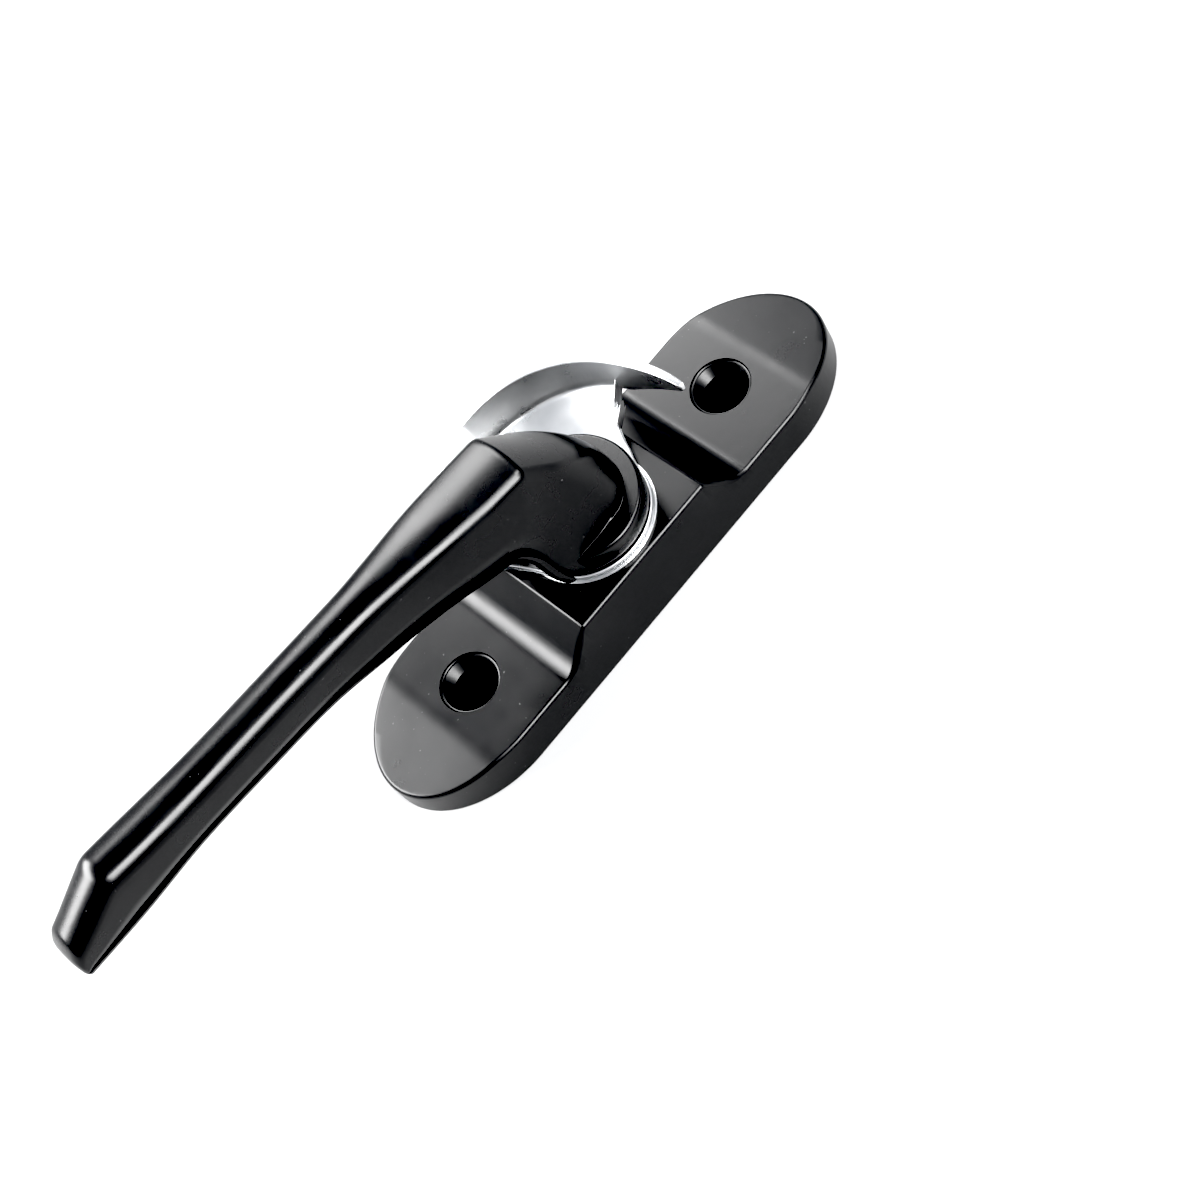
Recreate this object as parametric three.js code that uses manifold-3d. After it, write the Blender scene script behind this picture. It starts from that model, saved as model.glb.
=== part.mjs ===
// A crescent sash lock for a sliding window: a die-cast base, and a plated crescent cam and a cranked lever
// on one spindle. Millimetres. The pivot axis is Z, z = 0 is the face that lies on the window, +X runs
// along the base and +Y points to the keeper. The lock is drawn closed, its lever over the base's -X end.
import * as THREE from "three";
import { mergeVertices } from "three/addons/utils/BufferGeometryUtils.js";
import Module from "manifold-3d";

const wasm = await Module();
wasm.setup();

// Driving dimensions
const BASE = {
  width: 22.6, // across the base
  centreY: 1.3, // the pivot stands this far to the handle side of the base's centre line
  straight: 26, // half length of the parallel sides
  endReach: 15.4, // the half-elliptic end beyond them
  padTop: 6.3,
  blockTop: 11.7,
  blockHalf: 11.5, // half length of the block's top
  slopeFoot: 16.1, // where the block's slope meets the pad
  footFillet: 2.4,
  creaseX: 31, // the pad falls away outside this line
  endFall: 2.2, // by this much at the base's end
  wall: 2,
};
const SCREW = { pitch: 50, rimRadius: 4.05, boreRadius: 2.75, taperDepth: 1.5, bossRadius: 5.4 };
const POCKET = { roof: 8.8, halfTop: 11.2, halfBottom: 14, shoulder: 5.5, endRoof: 3, endStart: 17.5 };
const PLATE_SCREW = {
  x: 11.7,
  bossRadius: 2.2,
  bossBottom: 2.1,
  bossTop: 8,
  shankRadius: 1.1,
  shankTop: 6,
  headRadius: 1.9,
  headBottom: 0.3,
  slot: 0.5,
};

const CAM = {
  bottom: 12,
  discTop: 12.9,
  discRadius: 8.85,
  chamfer: 0.4,
  wallRadius: 18.35, // outside of the wall at the horn's root
  wallGrowth: 0.4, // the wall's circle opens by this much towards its middle, to draw the sashes together
  wallThick: 1.3,
  wallTop: 21,
  floorLow: 14.6, // floor height at the wall's foot behind the lever
  floorHigh: 16.6, // and at the horn's root, where the ramp ends
  plate: 1.9, // thickness of the dished floor
  rampFrom: 75, // degrees
  rampTo: 19,
  tailFrom: 94, // the wall curls in towards the hub past this angle
  tailPull: 0.057, // per degree
  tailAngle: 158,
  hornAngle: -12,
  hornFlare: 1.1, // how far the horn's tip stands outside the wall's circle
  hornBottom: 19.3,
  hornTaper: 0.5, // how much thinner and lower the horn is at its tip
};
const HANDLE = {
  bottom: 13.2,
  collarTop: 17.6,
  collarRadius: 8.75,
  collarReach: 9.5, // the collar's top is a little wider across the lever than along it
  collarEdge: 0.7,
  edge: 0.8, // rounding along the lever's edges
  crown: 0.8, // the lever's front stands this much prouder in its middle than at its edges
  armCrown: 1.15, // and by this much along the arm
  crownFrom: -12,
  crownTo: -30,
  draftEnd: -29, // past this the arm's sides are upright
  backX: -11.5, // where the arm's underside turns down into the hub's back
  noseFrom: 0.2, // the hub's front grows from here
  noseLength: 4.6, // into half an ellipse of this length at its foot
  tipRound: 1.2,
};
const SPINDLE = {
  square: 5.6,
  journal: 4,
  lowerSquare: 5,
  thread: 1.95,
  threadTop: 5,
  top: 24,
  shoulder: 12,
  bottom: 0.8,
};
const BUSH = { wall: 1, flangeRadius: 6.2 };
const WASHER = { inner: 5.3, outer: 7.3, recess: 7.5 };
const SHIM = { inner: 7.6, outer: 9.25 };
const FLAT_WASHER = { inner: 2.15, outer: 4.5 };
const DISC_SPRING = { inner: 2.1, outer: 4.4, thick: 0.25 };
const NUT_ACROSS_FLATS = 7;
const SHAFT_GAP = 0.08; // running clearance of the journal in its bush
const SQUARE_GAP = 0.12; // around the spindle's squares
const STACK = {
  shim: [11.76, 11.94],
  flange: [8.1, 8.7],
  bushTop: 11.4,
  washer: [10.9, 11.85],
  detent: [6.2, 8],
  stop: [4.5, 6.1],
  spring: [3.9, 4.4],
  flat: [3.3, 3.8],
  nut: [1.1, 3.2],
  plate: [1.2, 2],
};
const DETENT = { radius: 6, flat: 5.3 };
const STOP = { hub: 4.9, lobe: 7.3, pinRadius: 0.8, pinY: -6.2, turn: 180 };
const LEAF = { half: 8.5, thick: 0.6, middle: 6.15, end: 7.1 };

const ROUND = 48;
const rad = THREE.MathUtils.degToRad;

// Materials
const MATERIALS = {
  black: new THREE.MeshStandardMaterial({ color: 0x1b1b1d, roughness: 0.38, metalness: 0.2 }),
  plated: new THREE.MeshStandardMaterial({ color: 0xd9dadc, roughness: 0.14, metalness: 1 }),
  steel: new THREE.MeshStandardMaterial({ color: 0x9b9ea2, roughness: 0.35, metalness: 1 }),
  brass: new THREE.MeshStandardMaterial({ color: 0xb9974f, roughness: 0.35, metalness: 1 }),
  nylon: new THREE.MeshStandardMaterial({ color: 0xe6e2d6, roughness: 0.6, metalness: 0 }),
};

// Solids: three.js geometry in, manifold-3d solids for joins and cuts, geometry out
function solid(geometry) {
  const bare = new THREE.BufferGeometry();
  bare.setAttribute("position", geometry.getAttribute("position").clone());
  if (geometry.index) bare.setIndex(geometry.index.clone());
  const merged = mergeVertices(bare, 1e-4);
  return new wasm.Manifold(
    new wasm.Mesh({
      numProp: 3,
      vertProperties: new Float32Array(merged.getAttribute("position").array),
      triVerts: new Uint32Array(merged.index.array),
    }),
  );
}

function geometryOf(body) {
  const mesh = body.getMesh();
  const geometry = new THREE.BufferGeometry();
  geometry.setAttribute("position", new THREE.BufferAttribute(new Float32Array(mesh.vertProperties), 3));
  geometry.setIndex(new THREE.BufferAttribute(new Uint32Array(mesh.triVerts), 1));
  return geometry;
}

// A shape in XY made into a solid from z = low to z = high
function prism(shape, low, high, curveSegments = 12) {
  const options = { depth: high - low, bevelEnabled: false, curveSegments };
  return solid(new THREE.ExtrudeGeometry(shape, options).translate(0, 0, low));
}

// A shape in XZ made into a solid from y = -half to y = half, about the base's centre line
function sideways(shape, half, centreY) {
  const geometry = new THREE.ExtrudeGeometry(shape, {
    depth: 2 * half,
    bevelEnabled: false,
    curveSegments: 6,
  });
  return solid(geometry.rotateX(Math.PI / 2).translate(0, centreY + half, 0));
}

// A closed ring or disc: profile points are [radius, z], anticlockwise seen with the radius to the right
function turned(profile, segments = ROUND) {
  const points = profile.map(([r, z]) => new THREE.Vector2(r, z));
  const geometry = new THREE.LatheGeometry([...points, points[0]], segments);
  return solid(geometry.rotateX(Math.PI / 2));
}

function cylinder(radius, low, high, segments = ROUND) {
  return turned([[0, low], [radius, low], [radius, high], [0, high]], segments);
}

function ring(inner, outer, low, high) {
  return turned([[inner, low], [outer, low], [outer, high], [inner, high]]);
}

function box(wide, deep, low, high) {
  const geometry = new THREE.BoxGeometry(wide, deep, high - low);
  return solid(geometry.translate(0, 0, (low + high) / 2));
}

function polygon(points) {
  return new THREE.Shape(points.map(([x, y]) => new THREE.Vector2(x, y)));
}

const polar = (radius, degrees) => [radius * Math.cos(rad(degrees)), radius * Math.sin(rad(degrees))];

// A solid skinned over a row of sections, each a list of [x, y, z] in the same turning direction
function skin(sections) {
  const count = sections[0].length;
  const positions = sections.flat(2);
  const index = [];
  for (let i = 0; i + 1 < sections.length; i++) {
    for (let j = 0; j < count; j++) {
      const a = i * count + j;
      const b = i * count + ((j + 1) % count);
      index.push(a, b, a + count, b, b + count, a + count);
    }
  }
  const last = (sections.length - 1) * count;
  for (const [p, q, r] of capTriangles(sections[0])) index.push(p, r, q);
  for (const [p, q, r] of capTriangles(sections.at(-1))) index.push(last + p, last + q, last + r);
  const geometry = new THREE.BufferGeometry();
  geometry.setAttribute("position", new THREE.Float32BufferAttribute(positions, 3));
  geometry.setIndex(index);
  const made = solid(geometry);
  return made.volume() > 0 ? made : solid(flipped(geometry));
}

// Triangles over a flat section, found in the plane that shows it best
function capTriangles(section) {
  const points = section.map((p) => new THREE.Vector3(...p));
  const normal = new THREE.Vector3();
  points.forEach((p, i) => normal.add(p.clone().cross(points[(i + 1) % points.length])));
  normal.normalize();
  const across = new THREE.Vector3().subVectors(points[1], points[0]).normalize();
  const up = normal.clone().cross(across);
  const flat = points.map((p) => new THREE.Vector2(p.dot(across), p.dot(up)));
  return THREE.ShapeUtils.triangulateShape(flat, []);
}

function flipped(geometry) {
  const index = geometry.index.array;
  for (let i = 0; i < index.length; i += 3) [index[i + 1], index[i + 2]] = [index[i + 2], index[i + 1]];
  return geometry;
}

const part = new THREE.Group();

function add(name, body, material) {
  const mesh = new THREE.Mesh(geometryOf(body), material);
  mesh.name = name;
  part.add(mesh);
}

// Base
function baseOutline(inset) {
  const shape = new THREE.Shape();
  const half = BASE.width / 2 - inset;
  const reach = BASE.endReach - inset;
  shape.moveTo(-BASE.straight, BASE.centreY - half);
  shape.lineTo(BASE.straight, BASE.centreY - half);
  shape.absellipse(BASE.straight, BASE.centreY, reach, half, -Math.PI / 2, Math.PI / 2);
  shape.lineTo(-BASE.straight, BASE.centreY + half);
  shape.absellipse(-BASE.straight, BASE.centreY, reach, half, Math.PI / 2, (3 * Math.PI) / 2);
  return shape;
}

// The base seen from its long side, with a fillet at the foot of each slope
function baseProfile() {
  const end = BASE.straight + BASE.endReach;
  const slope = Math.atan2(BASE.blockTop - BASE.padTop, BASE.slopeFoot - BASE.blockHalf);
  const tangent = BASE.footFillet * Math.tan(slope / 2);
  const shape = new THREE.Shape();
  shape.moveTo(-end - 1, 0);
  shape.lineTo(end + 1, 0);
  shape.lineTo(end + 1, BASE.padTop - BASE.endFall);
  shape.lineTo(BASE.creaseX, BASE.padTop);
  const side = (sign) => {
    const pad = [sign * (BASE.slopeFoot + tangent), BASE.padTop];
    const climb = [
      sign * (BASE.slopeFoot - tangent * Math.cos(slope)),
      BASE.padTop + tangent * Math.sin(slope),
    ];
    return sign > 0 ? [pad, climb] : [climb, pad];
  };
  for (const sign of [1, -1]) {
    const [from, to] = side(sign);
    shape.lineTo(...from);
    shape.quadraticCurveTo(sign * BASE.slopeFoot, BASE.padTop, ...to);
    if (sign > 0) {
      shape.lineTo(BASE.blockHalf, BASE.blockTop);
      shape.lineTo(-BASE.blockHalf, BASE.blockTop);
    }
  }
  shape.lineTo(-BASE.creaseX, BASE.padTop);
  shape.lineTo(-end - 1, BASE.padTop - BASE.endFall);
  return shape;
}

function screwHole() {
  const { rimRadius, boreRadius, taperDepth } = SCREW;
  const rimZ = BASE.padTop;
  return turned([
    [0, -1],
    [boreRadius, -1],
    [boreRadius, rimZ - taperDepth],
    [rimRadius, rimZ],
    [rimRadius, rimZ + 2],
    [0, rimZ + 2],
  ], 32);
}

function mechanismPocket() {
  const { roof, halfTop, halfBottom, shoulder } = POCKET;
  const profile = polygon([
    [-halfBottom, -1],
    [halfBottom, -1],
    [halfBottom, shoulder],
    [halfTop, roof],
    [-halfTop, roof],
    [-halfBottom, shoulder],
  ]);
  return sideways(profile, BASE.width / 2 - BASE.wall, BASE.centreY);
}

// The shallow pocket under one end, around that end's screw boss
function endPocket(sign) {
  const hollow = prism(baseOutline(BASE.wall), -1, POCKET.endRoof, 16);
  const far = 2 * BASE.straight;
  const zone = box(far, BASE.width, -2, POCKET.endRoof + 1).translate([
    sign * (POCKET.endStart + far / 2),
    BASE.centreY,
    0,
  ]);
  const boss = cylinder(SCREW.bossRadius, -2, POCKET.endRoof + 1, 32).translate([
    (sign * SCREW.pitch) / 2,
    BASE.centreY,
    0,
  ]);
  return hollow.intersect(zone).subtract(boss);
}

function baseHousing() {
  let body = prism(baseOutline(0), 0, BASE.blockTop + 1, 16).intersect(
    sideways(baseProfile(), BASE.width, BASE.centreY),
  );
  body = body.subtract(mechanismPocket());
  for (const sign of [1, -1]) {
    const { bossRadius, bossBottom, bossTop, shankRadius, x } = PLATE_SCREW;
    const at = [sign * x, BASE.centreY, 0];
    body = body.subtract(endPocket(sign));
    body = body.subtract(screwHole().translate([(sign * SCREW.pitch) / 2, BASE.centreY, 0]));
    body = body.add(cylinder(bossRadius, bossBottom, bossTop, 24).translate(at));
    body = body.subtract(cylinder(shankRadius + SHAFT_GAP, bossBottom - 1, bossTop - 1, 24).translate(at));
  }
  const sleeve = SPINDLE.journal + BUSH.wall;
  body = body.subtract(cylinder(sleeve + SHAFT_GAP, POCKET.roof - 1, BASE.blockTop + 1));
  return body.subtract(cylinder(WASHER.recess, STACK.washer[0] - SHAFT_GAP, BASE.blockTop + 1));
}

function pivotBush() {
  const inner = SPINDLE.journal + SHAFT_GAP;
  const [low, high] = STACK.flange;
  return turned([
    [inner, low],
    [BUSH.flangeRadius, low],
    [BUSH.flangeRadius, high],
    [SPINDLE.journal + BUSH.wall, high],
    [SPINDLE.journal + BUSH.wall, STACK.bushTop],
    [inner, STACK.bushTop],
  ]);
}

// Pocket mechanism
function leafSpring(sign) {
  const { half, thick, middle, end } = LEAF;
  const shape = new THREE.Shape();
  shape.moveTo(-half, end);
  shape.quadraticCurveTo(0, 2 * middle - end, half, end);
  shape.lineTo(half, end + thick);
  shape.quadraticCurveTo(0, 2 * middle - end + thick, -half, end + thick);
  const leaf = prism(shape, STACK.detent[0] + 0.1, STACK.detent[1] - 0.1, 10);
  return sign > 0 ? leaf : leaf.rotate([0, 0, 180]);
}

function retainerPlate() {
  const [low, high] = STACK.plate;
  const half = BASE.width / 2 - BASE.wall - 0.3;
  const plate = box(2 * (POCKET.halfBottom - 0.3), 2 * half, low, high).translate([0, BASE.centreY, 0]);
  const screws = [1, -1].map((sign) =>
    cylinder(PLATE_SCREW.shankRadius + 0.2, low - 1, high + 1, 24).translate([
      sign * PLATE_SCREW.x,
      BASE.centreY,
      0,
    ]),
  );
  return plate
    .subtract(cylinder(STOP.hub + 0.2, low - 1, high + 1))
    .subtract(screws[0])
    .subtract(screws[1])
    .subtract(cylinder(STOP.pinRadius + 0.05, low - 1, high + 1, 24).translate([0, STOP.pinY, 0]));
}

function retainerScrew(sign) {
  const { headRadius, headBottom, shankRadius, shankTop, slot, x } = PLATE_SCREW;
  const [underside] = STACK.plate;
  return turned([
    [0, headBottom],
    [headRadius, headBottom],
    [headRadius, underside],
    [shankRadius, underside],
    [shankRadius, shankTop],
    [0, shankTop],
  ], 24)
    .subtract(box(2 * headRadius + 1, slot, headBottom - 1, headBottom + 0.8 * slot))
    .translate([sign * x, BASE.centreY, 0]);
}

function stopPin() {
  return cylinder(STOP.pinRadius, STACK.plate[0], STACK.stop[1], 24).translate([0, STOP.pinY, 0]);
}

function squareHole(size, low, high) {
  return box(size + 2 * SQUARE_GAP, size + 2 * SQUARE_GAP, low, high);
}

function detentPlate() {
  const [low, high] = STACK.detent;
  const flats = box(2 * DETENT.radius, 2 * DETENT.flat, low, high);
  return cylinder(DETENT.radius, low, high)
    .intersect(flats)
    .subtract(squareHole(SPINDLE.lowerSquare, low - 1, high + 1));
}

// A half-round lobe leaves the pin free through the whole turn and meets it at both ends
function stopPlate() {
  const [low, high] = STACK.stop;
  const clear = THREE.MathUtils.radToDeg(Math.asin((STOP.pinRadius + 0.15) / -STOP.pinY));
  const spare = (180 - STOP.turn) / 2;
  const lobe = new THREE.Shape();
  lobe.moveTo(0, 0);
  lobe.absarc(0, 0, STOP.lobe, rad(-90 + clear + spare), rad(90 - clear - spare));
  return cylinder(STOP.hub, low, high)
    .add(prism(lobe, low, high, 24))
    .subtract(squareHole(SPINDLE.lowerSquare, low - 1, high + 1));
}

function discSpring() {
  const [low, high] = STACK.spring;
  const { inner, outer, thick } = DISC_SPRING;
  return turned([[inner, high - thick], [outer, low], [outer, low + thick], [inner, high]]);
}

function hexNut() {
  const [low, high] = STACK.nut;
  const corner = NUT_ACROSS_FLATS / 2 / Math.cos(Math.PI / 6);
  const bore = cylinder(SPINDLE.thread + 0.1, low - 1, high + 1, 24);
  return cylinder(corner, low, high, 6).subtract(bore);
}

function spindle() {
  const { square, journal, lowerSquare, thread, threadTop, top, shoulder, bottom } = SPINDLE;
  const end = [[0, bottom], [thread - 0.3, bottom], [thread, bottom + 0.3], [thread, threadTop], [0, threadTop]];
  return box(square, square, shoulder - 0.1, top)
    .intersect(cylinder(journal, bottom, top))
    .add(cylinder(journal, STACK.detent[1] + 0.1, shoulder))
    .add(box(lowerSquare, lowerSquare, STACK.stop[0] - 0.1, STACK.detent[1] + 0.2))
    .add(turned(end, 24));
}

// Crescent cam
function floorHeight(degrees) {
  const { floorLow, floorHigh, rampFrom, rampTo } = CAM;
  const t = THREE.MathUtils.smoothstep(degrees, rampTo, rampFrom);
  return floorHigh + (floorLow - floorHigh) * t;
}

function sweep(from, to, count) {
  return Array.from({ length: count + 1 }, (_, i) => from + ((to - from) * i) / count);
}

function wallOuter(degrees) {
  const { wallRadius, wallGrowth, rampFrom, rampTo, tailFrom, tailPull } = CAM;
  const grown = wallGrowth * THREE.MathUtils.smoothstep(degrees, rampTo, rampFrom);
  return wallRadius + grown - tailPull * Math.max(0, degrees - tailFrom);
}

// The dished floor: level over the disc, rising to the wall's foot
function camFloor() {
  const { discRadius, discTop, bottom, wallThick, plate, tailAngle } = CAM;
  const steps = [0, 0.35, 0.7, 1];
  return skin(
    sweep(-20, tailAngle + 40, 44).map((angle) => {
      const foot = floorHeight(angle);
      const outer = wallOuter(angle) - wallThick / 2;
      const top = steps.map((t) => [
        discRadius - 0.4 + (outer - discRadius + 0.4) * t,
        discTop + (foot - discTop) * t ** 1.2,
      ]);
      const under = [...top].reverse().map(([r, z], i) => [r, Math.max(bottom, z - plate + 0.15 * i)]);
      const section = [[3, bottom], [3, discTop], ...top, ...under];
      return section.map(([r, z]) => [...polar(r, angle), z]);
    }),
  );
}

// The upright wall with its horn: past the floor's edge the horn flares out and its lower edge rises
function camWall() {
  const { wallThick, wallTop, rampTo, tailAngle, hornAngle, hornFlare, hornBottom, hornTaper, plate } = CAM;
  return skin(
    sweep(hornAngle, tailAngle, 42).map((angle) => {
      const out = Math.max(0, (rampTo - angle) / (rampTo - hornAngle));
      const low = floorHeight(angle) - plate * (1 - out) + (hornBottom - CAM.floorHigh) * out ** 1.3;
      const outer = wallOuter(angle) + hornFlare * out ** 1.5;
      const inner = outer - wallThick + hornTaper * out ** 3;
      const top = wallTop - hornTaper * out ** 3;
      const section = [[inner, low], [inner, top], [outer, top], [outer, low]];
      return section.map(([r, z]) => [...polar(r, angle), z]);
    }),
  );
}

// What is cut from the floor between the horn's root and the disc
function hornNotch() {
  const shape = new THREE.Shape();
  shape.moveTo(...polar(CAM.wallRadius, CAM.rampTo - 1.5));
  shape.lineTo(15.6, 5.9);
  shape.bezierCurveTo(12.7, 6.2, 11.3, 4.2, 10.3, 1.6);
  shape.lineTo(9.2, -0.4);
  shape.lineTo(8.7, -3);
  shape.lineTo(6, -12);
  shape.lineTo(24, -12);
  shape.lineTo(24, 4);
  return prism(shape, CAM.bottom - 1, CAM.wallTop + 1, 10);
}

// The floor's other end runs in a shallow hollow from the wall's tail back to the disc
function tailCut() {
  const shape = new THREE.Shape();
  const end = wallOuter(CAM.tailAngle);
  shape.moveTo(...polar(end + 0.5, CAM.tailAngle));
  shape.lineTo(...polar(end - CAM.wallThick - 0.5, CAM.tailAngle));
  shape.quadraticCurveTo(-10.6, 2.8, -9.2, -1.5);
  shape.lineTo(-8, -8);
  shape.lineTo(-24, -8);
  shape.lineTo(-24, 6);
  return prism(shape, CAM.bottom - 1, CAM.wallTop + 1, 10);
}

function crescentCam() {
  const { bottom, discTop, discRadius, chamfer } = CAM;
  const disc = turned([
    [0, bottom],
    [discRadius, bottom],
    [discRadius, discTop - chamfer],
    [discRadius - chamfer, discTop],
    [0, discTop],
  ], 64);
  return camFloor()
    .subtract(hornNotch())
    .subtract(tailCut())
    .add(camWall())
    .add(disc)
    .subtract(squareHole(SPINDLE.square, bottom - 1, discTop + 1));
}

// Lever: each line below is a smooth curve through a few stations, [x, value] or [x, z]
const LEVER_TOP = [[-3.6, 35], [-10, 35.7], [-20, 37], [-38, 38.6], [-55, 39.9], [-69.5, 41.8]];
const LEVER_TIP = [[-69.5, 41.8], [-78.4, 37.3], [-79.3, 34.6]];
const LEVER_UNDER = [
  [-11.5, 24.6], [-20, 26.4], [-29, 28], [-38, 30.2], [-48, 31.2], [-60, 32.2], [-70, 31.8], [-79.3, 31.6],
];
const LEVER_HALF = [[-9, 4.9], [-16, 4.45], [-24, 3.7], [-31, 3.3], [-48, 3.15], [-66, 3.35], [-79.3, 3]];
const HUB_FRONT = [[-3.6, 35], [1.2, 29.3], [3.7, 26.2], [5.4, 23.2], [6.4, 19.7], [6.9, 15.6]];
// How much wider to each side the hub is than the arm's end, as [z, extra]
const HUB_OPENING = [[15.6, 2.4], [17.6, 2.07], [23, 1.1], [26, 0.6], [29, 0.2], [32, 0], [36, 0]];
const HUB_BACK = [[-11.5, 24.6], [-10.9, 23.4], [-10.2, 21.6], [-9.9, 19.5], [-9.6, 17.5], [-8.9, 15.6]];

function along(stations, x) {
  const sorted = [...stations].sort((a, b) => a[0] - b[0]);
  const curve = new THREE.SplineCurve(sorted.map(([u, v]) => new THREE.Vector2(u, v)));
  let low = 0;
  let high = 1;
  for (let i = 0; i < 24; i++) {
    const middle = (low + high) / 2;
    if (curve.getPoint(middle).x < x) low = middle;
    else high = middle;
  }
  return curve.getPoint(low).y;
}

function linear(stations, x) {
  const sorted = [...stations].sort((a, b) => a[0] - b[0]);
  const next = Math.max(1, sorted.findIndex(([u]) => u >= x));
  const [[u0, v0], [u1, v1]] = [sorted[next - 1], sorted[next]];
  return THREE.MathUtils.lerp(v0, v1, (x - u0) / (u1 - u0));
}

function leverTop(x) {
  return x < LEVER_TIP[0][0] ? linear(LEVER_TIP, x) : along(LEVER_TOP, x);
}

// Half width at a place on the lever's side: the hub is drafted, the arm upright, the tip rounded
function leverHalf(x, z) {
  const { draftEnd, backX, tipRound } = HANDLE;
  const hubEnd = LEVER_HALF[0][0];
  const tip = LEVER_HALF.at(-1)[0];
  const round = tipRound * Math.max(0, (tip + tipRound - x) / tipRound) ** 2;
  const opening = along(HUB_OPENING, z) * THREE.MathUtils.smoothstep(x, draftEnd, backX);
  return along(LEVER_HALF, Math.min(x, hubEnd)) + opening - round;
}

function leverCrown(x) {
  const { crown, armCrown, crownFrom, crownTo } = HANDLE;
  return THREE.MathUtils.lerp(crown, armCrown, THREE.MathUtils.smoothstep(-x, -crownFrom, -crownTo));
}

// The section from a point on the lever's back to one on its crowned front, whose corners an ellipse cuts
function leverSection([backX, backZ], [frontX, frontZ], cornerLong, cornerWide) {
  const length = Math.hypot(frontX - backX, frontZ - backZ);
  const [alongX, alongZ] = [(frontX - backX) / length, (frontZ - backZ) / length];
  const backHalf = leverHalf(backX, backZ);
  const frontHalf = leverHalf(frontX, frontZ);
  const cut = Math.min(HANDLE.edge, length / 3);
  const crown = Math.min(leverCrown(frontX), length / 6);
  const long = Math.min(cornerLong, (length + cornerLong) / 3);
  const corner = sweep(0, 90, 5).map((angle) => [
    length - long * (1 - Math.sin(rad(angle))),
    frontHalf - cornerWide * (1 - Math.cos(rad(angle))),
  ]);
  const crest = [[length, (frontHalf - cornerWide) / 2], [length, 0]];
  const face = [...corner, ...crest].map(([v, y]) => [v - crown * (y / frontHalf) ** 2, y]);
  const side = [[0, backHalf - cut], [cut, backHalf], ...face];
  const mirrored = side.slice(0, -1).reverse().map(([v, y]) => [v, -y]);
  return [...side, ...mirrored].map(([v, y]) => [backX + alongX * v, y, backZ + alongZ * v]);
}

function armSections() {
  const { edge } = HANDLE;
  const [start, tip] = [LEVER_TIP[0][0], LEVER_TIP.at(-1)[0]];
  const stations = [...sweep(tip, start, 8), ...sweep(start, HANDLE.backX, 22).slice(1)];
  return stations.map((x) => leverSection([x, along(LEVER_UNDER, x)], [x, leverTop(x)], edge, edge));
}

// From the end of the arm round the sharp bend to the foot, whose front is a half ellipse
function hubSections() {
  const { edge, noseFrom, noseLength, backX } = HANDLE;
  const front = new THREE.SplineCurve(HUB_FRONT.map(([x, z]) => new THREE.Vector2(x, z)));
  const back = new THREE.SplineCurve(HUB_BACK.map(([x, z]) => new THREE.Vector2(x, z)));
  const noseTo = HUB_FRONT.at(-1)[0] - 0.5;
  const bendAt = 1 / HUB_FRONT.length; // the share of the sections before the bend
  return sweep(0, 1, 18).slice(1).map((t) => {
    const x = THREE.MathUtils.lerp(backX, HUB_FRONT[0][0], t / bendAt);
    const f = t < bendAt ? new THREE.Vector2(x, leverTop(x)) : front.getPoint((t - bendAt) / (1 - bendAt));
    const b = back.getPoint(t);
    const grown = THREE.MathUtils.smoothstep(f.x, noseFrom, noseTo);
    const wide = leverHalf(f.x, f.y) * 0.97;
    const corner = [THREE.MathUtils.lerp(edge, noseLength, grown), THREE.MathUtils.lerp(edge, wide, grown)];
    return leverSection([b.x, b.y], [f.x, f.y], ...corner);
  });
}

// A round collar that widens across the lever towards its top
function collar() {
  const { bottom, collarTop, collarRadius, collarReach, collarEdge } = HANDLE;
  const turn = sweep(0, 360, 64).slice(1).map(rad);
  const oval = (long, wide, z) => turn.map((angle) => [long * Math.cos(angle), wide * Math.sin(angle), z]);
  return skin([
    oval(collarRadius, collarRadius, bottom),
    oval(collarRadius, collarReach, collarTop - collarEdge),
    oval(collarRadius - collarEdge / 3, collarReach - collarEdge / 3, collarTop - collarEdge / 4),
    oval(collarRadius - collarEdge, collarReach - collarEdge, collarTop),
  ]);
}

function handleLever() {
  return skin([...armSections(), ...hubSections()])
    .add(collar())
    .subtract(squareHole(SPINDLE.square, HANDLE.bottom - 1, SPINDLE.top + 0.3));
}

add("base_housing", baseHousing(), MATERIALS.black);
add("pivot_bush", pivotBush(), MATERIALS.brass);
add("cam_thrust_washer", ring(WASHER.inner, WASHER.outer, ...STACK.washer), MATERIALS.nylon);
add("cam_shim", ring(SHIM.inner, SHIM.outer, ...STACK.shim), MATERIALS.plated);
add("detent_spring_front", leafSpring(-1), MATERIALS.steel);
add("detent_spring_rear", leafSpring(1), MATERIALS.steel);
add("retainer_plate", retainerPlate(), MATERIALS.steel);
add("retainer_screw_left", retainerScrew(-1), MATERIALS.steel);
add("retainer_screw_right", retainerScrew(1), MATERIALS.steel);
add("stop_pin", stopPin(), MATERIALS.steel);
add("crescent_cam", crescentCam(), MATERIALS.plated);
add("handle_lever", handleLever(), MATERIALS.black);
add("spindle", spindle(), MATERIALS.steel);
add("detent_plate", detentPlate(), MATERIALS.steel);
add("stop_plate", stopPlate(), MATERIALS.steel);
add("disc_spring", discSpring(), MATERIALS.steel);
add("flat_washer", ring(FLAT_WASHER.inner, FLAT_WASHER.outer, ...STACK.flat), MATERIALS.steel);
add("hex_nut", hexNut(), MATERIALS.steel);

export default part;
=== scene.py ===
"""Looks for the crescent sash lock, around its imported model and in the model's own frame.

Shapes are worked out in millimetres and turned into metres as each mesh is made. The pivot
axis is Z, the base lies on z = 0 and the closed lever points along -X.
"""

import math

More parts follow.
